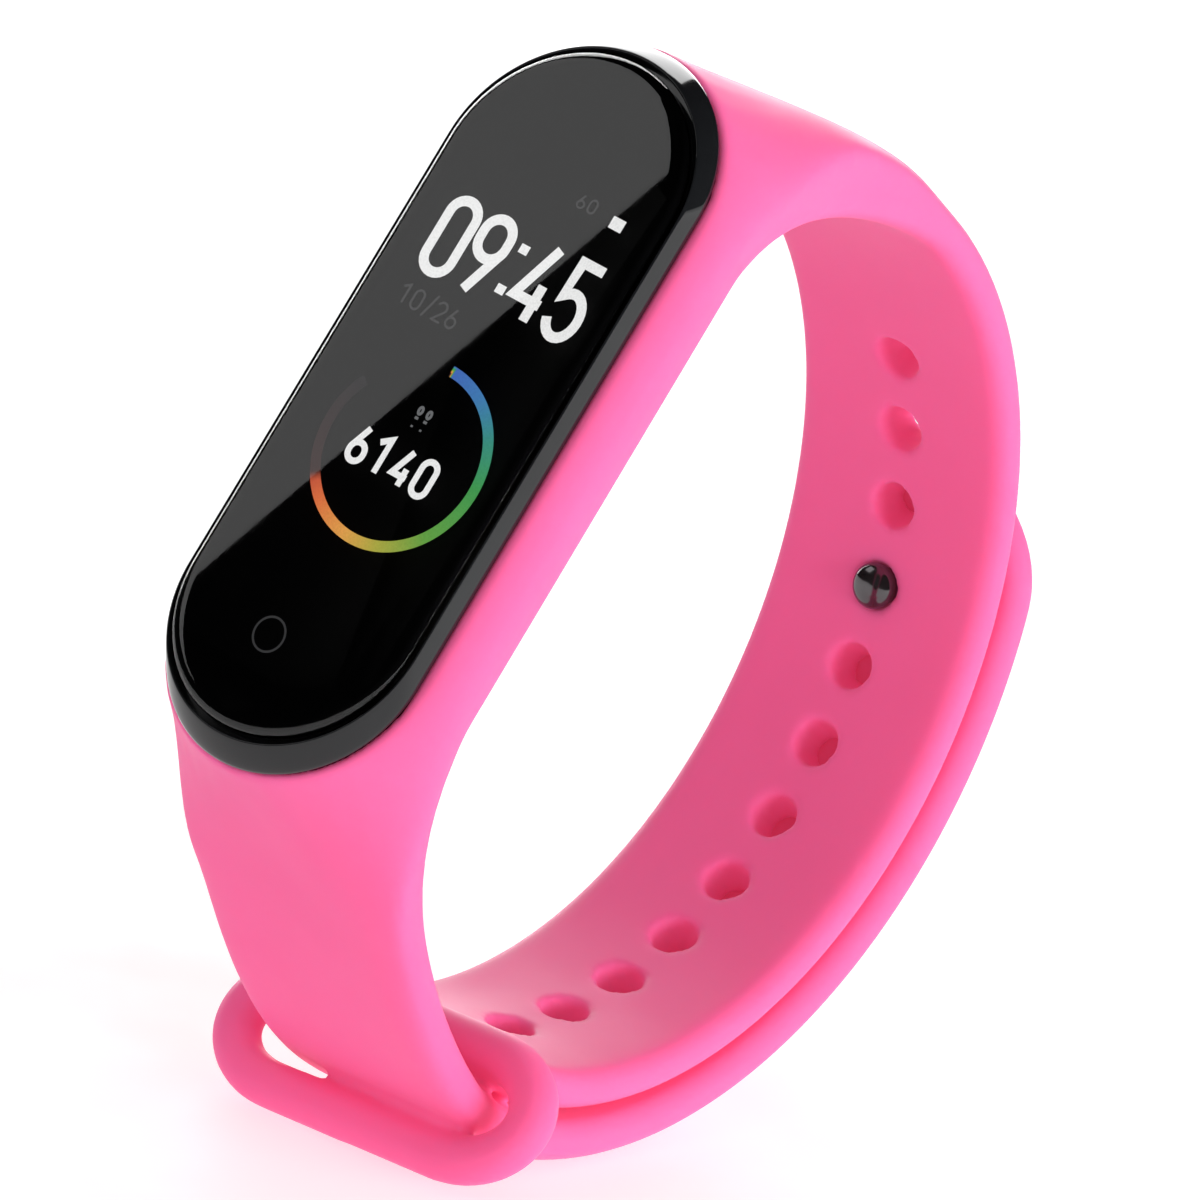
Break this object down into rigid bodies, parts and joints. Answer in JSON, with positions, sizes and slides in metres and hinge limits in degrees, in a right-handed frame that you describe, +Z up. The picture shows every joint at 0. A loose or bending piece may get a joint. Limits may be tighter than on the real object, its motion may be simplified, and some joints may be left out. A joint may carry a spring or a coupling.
{
  "type": "fitness tracker band",
  "caption": "Slim capsule fitness tracker in a soft silicone wristband, closed as on a wrist with its peg in one of the adjusting holes.",
  "frame": {"origin": "middle of the closed band's footprint, on the surface that it stands on", "axes": "+Z up, +Y across the band's width, +X from the display side to the side where the peg is fastened"},
  "size_m": [0.0662, 0.0238, 0.0652],
  "materials": {
    "pink_silicone": "soft matte silicone",
    "black_gloss": "glossy",
    "black_glass": "polished",
    "black_matte": "fine matte",
    "black_rubber": "matte",
    "dark_metal": "dark polished plating",
    "steel": "satin",
    "gold_contact": "gold plated",
    "circuit_board": "solder mask",
    "foil": "foil pouch",
    "amber_film": "polyimide film",
    "chip": "moulded",
    "dark_window": "tinted, polished",
    "green_led": "clear"
  },
  "bodies": {
    "band": {"band_moulding": "pink_silicone"},
    "tracker": {"cover_glass": "black_glass", "bezel_ring": "black_gloss", "rear_case": "black_matte", "case_gasket": "black_rubber", "sensor_window": "dark_window", "charging_pin_left": "gold_contact", "charging_pin_right": "gold_contact", "pin_seal_left": "black_rubber", "pin_seal_right": "black_rubber", "touch_film": "amber_film", "display_panel": "black_glass", "display_flex": "amber_film", "inner_frame": "black_matte", "main_board": "circuit_board", "processor": "chip", "memory_chip": "chip", "motion_sensor": "chip", "power_chip": "chip", "board_connector": "gold_contact", "chip_antenna": "steel", "battery_cell": "foil", "battery_guard_board": "circuit_board", "motor_base": "steel", "motor_shaft": "steel", "motor_cover": "steel", "heart_sensor_board": "circuit_board", "green_light_1": "green_led", "green_light_2": "green_led", "photodiode": "black_glass", "light_wall": "black_matte"},
    "tail_middle": {"tail_middle": "pink_silicone"},
    "tail_tip": {"tail_tip": "pink_silicone", "peg_stud": "dark_metal", "peg_cap": "dark_metal"},
    "motor_weight": {"motor_weight": "steel"}
  },
  "joints": [
    {"name": "tracker_release", "type": "slide", "parent": "band", "child": "tracker", "axis": [-0.8454, 0, 0.5342], "range_m": [0, 0.014]},
    {"name": "tail_bend", "type": "hinge", "parent": "band", "child": "tail_middle", "pos_m": [0.02381, 0, 0.01061], "axis": [0, 1, 0], "range_deg": [0, 25], "stiffness_Nm_per_rad": 0.01, "springref_deg": -8.59},
    {"name": "tip_bend", "type": "hinge", "parent": "tail_middle", "child": "tail_tip", "pos_m": [0.02928, 0, 0.01894], "axis": [0, 1, 0], "range_deg": [0, 25], "stiffness_Nm_per_rad": 0.01, "springref_deg": -8.59},
    {"name": "motor_spin", "type": "hinge", "parent": "tracker", "child": "motor_weight", "pos_m": [-0.00557, 0, 0.05554], "axis": [-0.8454, 0, 0.5342], "continuous": true}
  ],
  "couplings": [
    {"joint": "tip_bend", "follows": "tail_bend", "ratio": 1}
  ]
}
